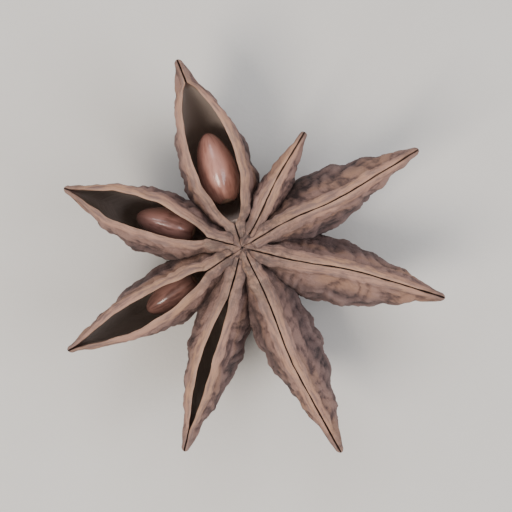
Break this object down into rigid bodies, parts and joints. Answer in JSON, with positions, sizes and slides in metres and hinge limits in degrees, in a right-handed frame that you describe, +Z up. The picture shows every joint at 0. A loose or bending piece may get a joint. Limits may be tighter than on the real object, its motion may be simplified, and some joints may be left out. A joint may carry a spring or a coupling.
{
  "type": "star anise pod",
  "caption": "Dried star-shaped spice pod of boat-shaped follicles fused round a short column, some gaping to show glossy seeds.",
  "frame": {"origin": "middle of the stalk's flat broken end, level with the keels that the pod rests on", "axes": "+Z is up, along the column, with the seams up; +X points to the right of the pod seen from above, and +Y away"},
  "size_m": [0.0242, 0.025, 0.009],
  "materials": {
    "pod_skin": "matt, wrinkled, with paler smooth lips",
    "seed_coat": "smooth and glossy"
  },
  "bodies": {
    "root": {"pod": "pod_skin", "seed_1": "seed_coat", "seed_2": "seed_coat", "seed_3": "seed_coat"}
  },
  "joints": []
}
